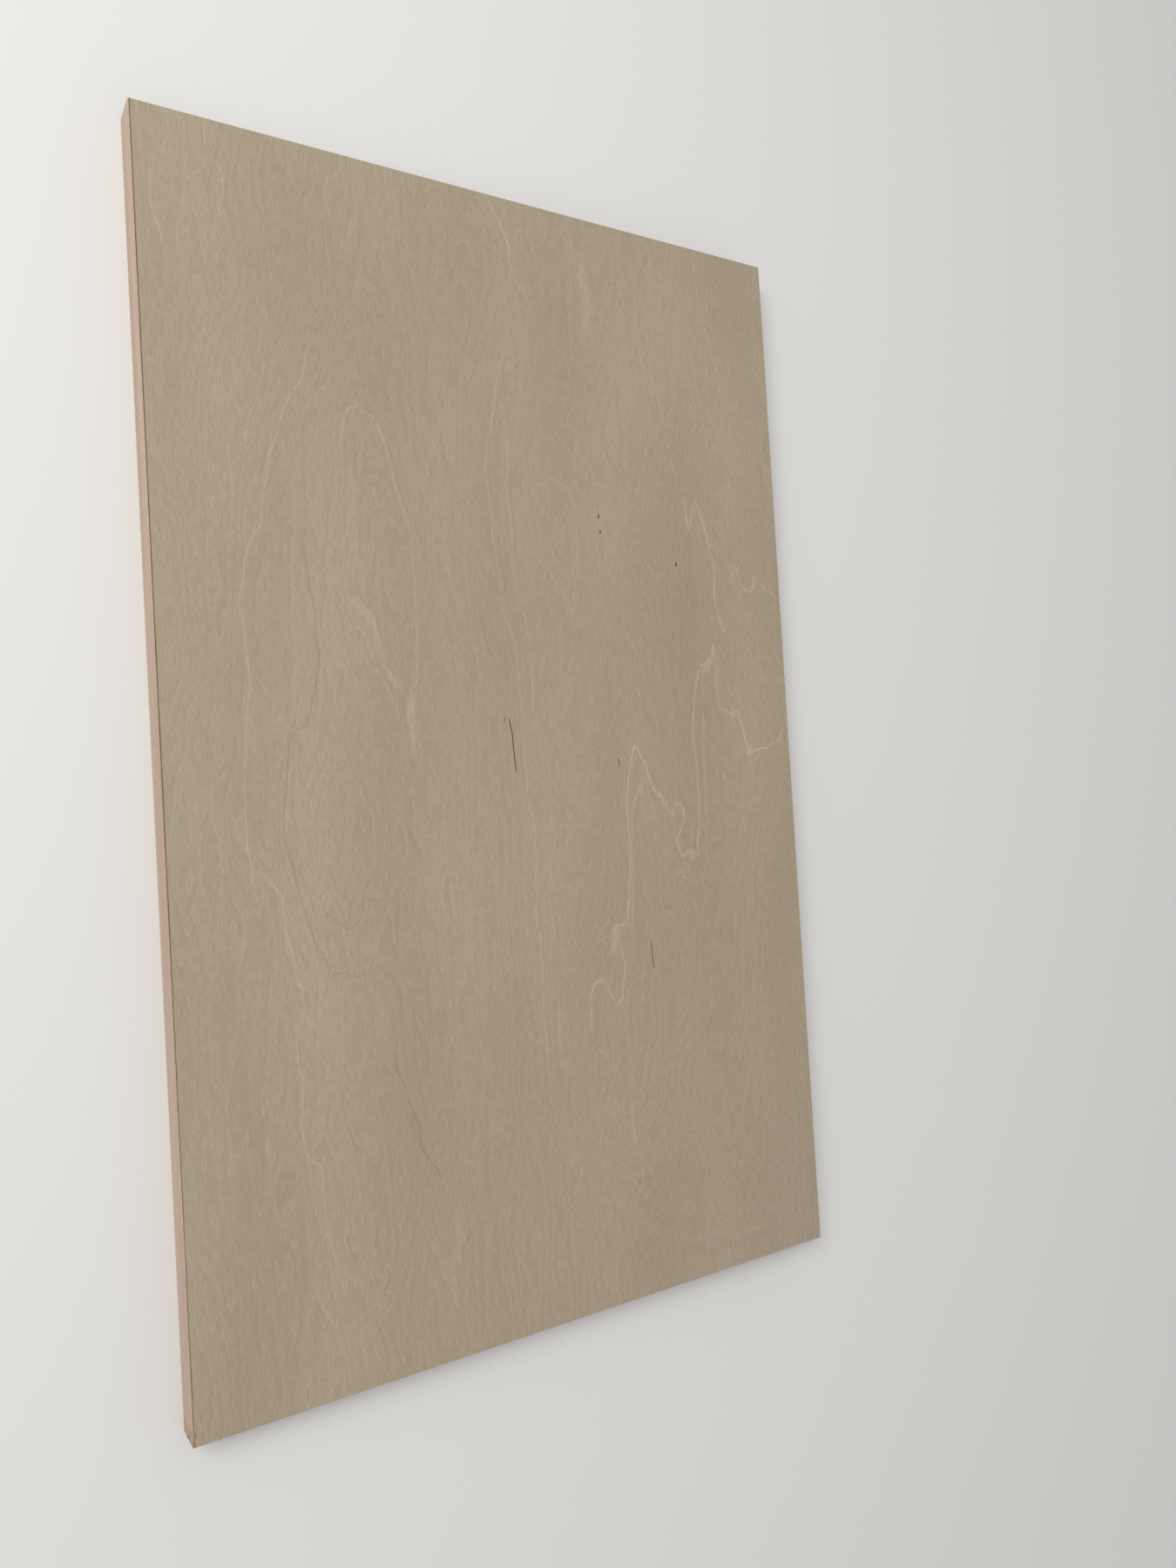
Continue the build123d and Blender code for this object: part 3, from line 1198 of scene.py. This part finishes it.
@dataclass(frozen=True)
class BirchPlywoodFinish(WoodFinish):
    """Raw sanded birch: the figured face, a plainer underside and cut edges with plies."""

    name: str = "birch_plywood"
    roughness: float = 0.58
    gloss: float = 0.35
    face_colours: tuple[Colour, ...] = ((146, 129, 106), (167, 151, 128), (190, 176, 154))
    streak_colour: Colour = (66, 49, 36)
    long_ply_colours: tuple[Colour, ...] = ((150, 129, 101), (187, 167, 138))
    end_ply_colours: tuple[Colour, ...] = ((112, 90, 66), (150, 127, 98))
    glue_colour: Colour = (88, 68, 52)
    # Colour of the joint with the band: its glue line and the painted shade in its groove
    joint_glue_and_shade_colour: Colour = (98, 81, 62)
    torn_colours: tuple[Colour, ...] = ((124, 103, 76), (180, 157, 122))
    plies: int = 25

    # Upward part of the normal from which a surface is a face and not an edge, and from which it is level
    least_of_face = 0.6
    least_of_level = 0.9
    # How much each effect adds to the tone of a face, from 0 for the darkest to 1 for the palest
    figure_shares = {"Pale": 0.35, "Dark": -0.30, "Lines": 0.12, "Tone": 0.11}
    face_cloud = Swell((300, 90), 0.03)
    fibre_shares = {"Fibre": 0.066, "Pores": -0.16}
    underside_shares = {"Lines": 0.20, "Tone": 0.09}
    underside_ring_width = 30.0
    underside_waver = (Swell((420, 120), 1.6), Swell((90, 16), 0.2))
    # Most that a ply's grain is shifted by from the next, in mm, and the pores' part in the relief
    ply_shift = 90.0
    pore_relief = -1.2
    # Part of the fibres in a cut edge's tone, its plies' own shades, and how far the glue hides them
    edge_fibre_share = 0.15
    darkest_ply, ply_spread = 0.86, 0.22
    glue_share = 0.8
    # Width of the groove by the band, coloured dark as its glue line and painted shade, the same darkening
    # on its rim, and how both fade to the right, in mm
    groove_width = 0.75
    rim_glue_and_shade_fall = Ease(0.6, 1.7, 0.6, 0.0)
    joint_fall = Ease(650.0, 950.0, 0.85, 0.5)
    joint_patches = Swell((40, 9), 0.12, 2.0)
    # Depth of the flake from which it shows as torn, in mm, and the fine fibres' part in its tone
    least_tear = 0.3
    torn_share = 0.22

    def draw(self, surface: Surface) -> tuple[Socket, Socket, Sockets]:
        """Draws the veneers, the cut edges, the glue line and painted shade of the joint with the band, and
        the torn flake.

        Args:
            surface: The wood's wiring and surface.

        Returns:
            Its colour, its relief, and where the front right corner is broken.
        """
        is_face = surface.math("GREATER_THAN", surface.upward, self.least_of_face)
        is_edge = surface.math("LESS_THAN", surface.math("ABSOLUTE", surface.upward), self.least_of_face)
        run = surface.mix(surface.on_end, surface.along, surface.across, MixKind.NUMBER)
        ply = surface.thickness / self.plies
        stack = PLY_STACK.place(surface, Height=surface.height, Along=run, Ply=ply)
        end_grain = surface.math("ABSOLUTE", surface.math("SUBTRACT", surface.on_end, stack["Cross"]))
        squeeze = surface.sum_up(1.0, (end_grain, self.end_grain_squeeze))
        edge_place = surface.join(surface.math("MULTIPLY", run, squeeze),
                                 surface.sum_up(surface.height, (stack["Own Tone"], self.ply_shift)))
        grain_place = surface.mix(is_edge, surface.place, edge_place, MixKind.VECTOR)
        fibre = WOOD_FIBRE.place(surface, Place=grain_place)
        colour = self.flat_colour(surface, is_face, fibre)
        colour = surface.mix(is_edge, colour, self.edge_colour(surface, stack, end_grain, fibre))
        colour = self.darken_joint_glue_and_shade(surface, colour, is_face)
        colour = self.tear_flake(surface, colour, fibre)
        relief = surface.sum_up(fibre["Fibre"], (fibre["Pores"], self.pore_relief))
        return colour, relief, BROKEN_CORNER.place(surface, Place=surface.place, Ragged=fibre["Fine"])

    def flat_colour(self, surface: Surface, is_face: Socket, fibre: Sockets) -> Socket:
        """Colours the face with its figure, and the underside as a plainer veneer, from noise alone.

        Args:
            surface: The wood's wiring and surface.
            is_face: 1 on the face.
            fibre: The fibres and the pores.

        Returns:
            The colour of both.
        """
        figure = BIRCH_FIGURE.place(surface, Place=surface.place)
        face = self.tone(surface, MIDDLE_TONE, figure, self.figure_shares)
        face = surface.swell(face, surface.place, self.face_cloud)
        bent = surface.math("MULTIPLY", surface.across, 1 / self.underside_ring_width)
        made = RING_TONE.place(surface, Rings=surface.swell(bent, surface.place, *self.underside_waver))
        underside = self.tone(surface, MIDDLE_TONE, made, self.underside_shares)
        tone = surface.mix(is_face, underside, face, MixKind.NUMBER)
        colour = surface.ramp(self.tone(surface, tone, fibre, self.fibre_shares), *self.face_colours)
        streak = surface.math("MULTIPLY", figure["Streak"], is_face)
        return surface.mix(streak, colour, paint(self.streak_colour))

    def edge_colour(self, surface: Surface, stack: Sockets, end_grain: Socket, fibre: Sockets) -> Socket:
        """Colours a cut edge: plies with long grain and end grain in turn, and glue lines.

        Args:
            surface: The wood's wiring and surface.
            stack: The plies and their glue.
            end_grain: 1 where a ply shows its end grain.
            fibre: The fibres and the pores.

        Returns:
            The edge's colour.
        """
        tone = surface.sum_up(MIDDLE_TONE, (fibre["Fibre"], self.edge_fibre_share))
        colour = surface.mix(end_grain, surface.ramp(tone, *self.long_ply_colours),
                            surface.ramp(tone, *self.end_ply_colours))
        shade = surface.sum_up(self.darkest_ply, (stack["Own Tone"], self.ply_spread))
        colour = surface.mix(1.0, colour, shade, blend="MULTIPLY")
        glue = surface.math("MULTIPLY", stack["Glue"], self.glue_share)
        return surface.mix(glue, colour, paint(self.glue_colour))

    def darken_joint_glue_and_shade(self, surface: Surface, colour: Socket, is_face: Socket) -> Socket:
        """Darkens the groove by the band and its rim with a glue line and painted shade.

        Args:
            surface: The wood's wiring and surface.
            colour: The colour so far.
            is_face: 1 on the face.

        Returns:
            The colour with the joint's glue line and painted shade.
        """
        # The groove's slanted faces and the rim beside them get the joint's glue line and painted shade
        near = surface.math("LESS_THAN", surface.across, self.groove_width)
        slanted = surface.math("LESS_THAN", surface.math("ABSOLUTE", surface.upward), self.least_of_level)
        rim_glue_and_shade = surface.ease(surface.across, self.rim_glue_and_shade_fall)
        marked = surface.math("MAXIMUM", surface.math("MULTIPLY", near, slanted), rim_glue_and_shade)
        faded = surface.ease(surface.along, self.joint_fall)
        share = surface.swell(faded, surface.place, self.joint_patches)
        joint = surface.math("MULTIPLY", surface.math("MULTIPLY", marked, is_face), share)
        return surface.mix(joint, colour, paint(self.joint_glue_and_shade_colour))

    def tear_flake(self, surface: Surface, colour: Socket, fibre: Sockets) -> Socket:
        """Colours the torn flake, which is the only level surface that lies a little below the face.

        Args:
            surface: The wood's wiring and surface.
            colour: The colour so far.
            fibre: The fibres and the pores.

        Returns:
            The colour with the flake.
        """
        below = surface.math("LESS_THAN", surface.height, surface.thickness - self.least_tear)
        level = surface.math("GREATER_THAN", surface.upward, self.least_of_level)
        tone = surface.sum_up(MIDDLE_TONE, (fibre["Fine"], self.torn_share))
        torn = surface.math("MULTIPLY", below, level)
        return surface.mix(torn, colour, surface.ramp(tone, *self.torn_colours))

    def tone(self, surface: Surface, base: Number, effects: Sockets, shares: dict[str, float]) -> Socket:
        """Adds effects to a tone, each by its share."""
        return surface.sum_up(base, *((effects[name], share) for name, share in shares.items()))


@dataclass(frozen=True)
class BeechBandFinish(WoodFinish):
    """Raw sanded beech with straight grain, pinkish streaks and short ray flecks."""

    name: str = "beech_band"
    roughness: float = 0.52
    gloss: float = 0.4
    colours: tuple[Colour, ...] = ((168, 140, 119), (186, 161, 141), (202, 181, 163))
    fleck_colour: Colour = (150, 112, 86)
    torn_colours: tuple[Colour, ...] = ((132, 101, 72), (190, 161, 124))

    stripes = Swell((420, 4), 0.17, 2.0)
    fibre_share = 0.08
    fleck = Swell((3.2, 0.4))
    fleck_rise = Ease(1.25, 1.7, 0.0, 0.55)
    torn_fibre = Swell((5, 0.9), 0.3, 1.0)
    torn_share = 0.8

    def draw(self, surface: Surface) -> tuple[Socket, Socket, Sockets]:
        """Draws the grain that goes round the band's front edge, the flecks and the torn stretch.

        Args:
            surface: The wood's wiring and surface.

        Returns:
            Its colour, its relief, and where the front right corner is broken.
        """
        squeezed = surface.math("MULTIPLY", surface.across, self.end_grain_squeeze)
        run = surface.mix(surface.on_end, surface.along, squeezed, MixKind.NUMBER)
        place = surface.join(run, surface.math("SUBTRACT", surface.height, surface.across))
        fibre = WOOD_FIBRE.place(surface, Place=place)
        tone = surface.swell(MIDDLE_TONE, place, self.stripes)
        tone = surface.sum_up(tone, (fibre["Fibre"], self.fibre_share))
        flecks = surface.ease(surface.noise(place, self.fleck), self.fleck_rise)
        colour = surface.mix(flecks, surface.ramp(tone, *self.colours), paint(self.fleck_colour))
        corner = BROKEN_CORNER.place(surface, Place=surface.place, Ragged=fibre["Fine"])
        torn = surface.ramp(surface.swell(MIDDLE_TONE, place, self.torn_fibre), *self.torn_colours)
        colour = surface.mix(surface.math("MULTIPLY", corner["Torn"], self.torn_share), colour, torn)
        return colour, fibre["Fibre"], corner


@dataclass
class PlywoodSheet:
    """The sheet and its band, as packed, dressed in wood."""

    sheet_node: str = "plywood_sheet"
    band_node: str = "edge_band"
    birch: WoodFinish = BirchPlywoodFinish()
    beech: WoodFinish = BeechBandFinish()

    def dress(self) -> list[bpy.types.Object]:
        """Gives each node its material.

        Returns:
            The dressed objects.
        """
        low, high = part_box(self.sheet_node)
        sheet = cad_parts[self.sheet_node]
        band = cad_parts[self.band_node]
        for node, finish in ((sheet, self.birch), (band, self.beech)):
            node.data.materials.clear()
            node.data.materials.append(finish.build(low, high))
        return [sheet, band]


@dataclass
class Studio:
    """A pale floor, a soft lamp and an even white surround."""

    floor_colour: Colour = (226, 225, 222)
    floor_roughness: float = 0.75
    floor_reach: float = 20.0
    # Distances from the middle between which the floor fades into the surround
    floor_fade: Ease = Ease(1.8, 5.0, 1.0, 0.0)
    surround_colour: Colour = (255, 255, 255)
    surround_strength: float = 0.56
    lamp_place: Parts = (-1.3, -2.3, 2.7)
    lamp_size: float = 1.8
    lamp_power: float = 82.0

    def build(self) -> None:
        """Makes the floor, the lamp and the surround."""
        self.make_floor()
        self.make_lamp()
        self.make_surround()

    def make_floor(self) -> None:
        """Lays the floor at the height that the sheet lies on."""
        shape = bmesh.new()
        bmesh.ops.create_grid(shape, x_segments=1, y_segments=1, size=self.floor_reach)
        bmesh.ops.translate(shape, verts=shape.verts, vec=(0, 0, cad_bounds[0].z))
        mesh = bpy.data.meshes.new("studio_floor")
        shape.to_mesh(mesh)
        shape.free()
        floor = bpy.data.objects.new("studio_floor", mesh)
        bpy.context.scene.collection.objects.link(floor)
        mesh.materials.append(self.floor_material())

    def floor_material(self) -> bpy.types.Material:
        """Makes the floor's material, which fades out far from the sheet, so that no horizon shows.

        Returns:
            The material.
        """
        material = bpy.data.materials.new("studio_floor")
        material.use_nodes = True
        wiring = Wiring(material.node_tree)
        shader = material.node_tree.nodes["Principled BSDF"].inputs
        shader["Base Color"].default_value = paint(self.floor_colour)
        shader["Roughness"].default_value = self.floor_roughness
        distance = wiring.measure("LENGTH", wiring.add("TexCoord").outputs["Object"])
        wiring.feed(shader["Alpha"], wiring.ease(distance, self.floor_fade))
        return material

    def make_lamp(self) -> None:
        """Hangs a large soft lamp that shines at the middle of the sheet."""
        data = bpy.data.lights.new("studio_lamp", "AREA")
        data.size = self.lamp_size
        data.energy = self.lamp_power
        lamp = bpy.data.objects.new("studio_lamp", data)
        lamp.location = self.lamp_place
        lamp.rotation_euler = (-Vector(self.lamp_place)).to_track_quat("-Z", "Y").to_euler()
        bpy.context.scene.collection.objects.link(lamp)

    def make_surround(self) -> None:
        """Lights the scene evenly, and shows the camera the floor's colour past the floor."""
        world = bpy.data.worlds.new("studio_surround")
        world.use_nodes = True
        bpy.context.scene.world = world
        wiring = Wiring(world.node_tree)
        world.node_tree.nodes.clear()
        light, seen = (wiring.add("Background", {"Color": paint(colour), "Strength": strength}).outputs[0]
                       for colour, strength in ((self.surround_colour, self.surround_strength),
                                                (self.floor_colour, 1.0)))
        is_camera = wiring.add("LightPath").outputs["Is Camera Ray"]
        mixed = wiring.add("MixShader", {0: is_camera, 1: light, 2: seen})
        wiring.add("OutputWorld", {"Surface": mixed.outputs[0]})


def main() -> None:
    """Dresses the sheet, builds the studio and aims the camera."""
    logging.basicConfig(level=logging.INFO, format="%(name)s: %(message)s")
    bpy.context.scene.view_settings.view_transform = "Standard"
    for piece in PlywoodSheet().dress():
        log.info("dressed %s with %s", piece.name, piece.data.materials[0].name)
    Studio().build()
    PHOTO_CAMERA.build()


if __name__ == "__main__":
    main()
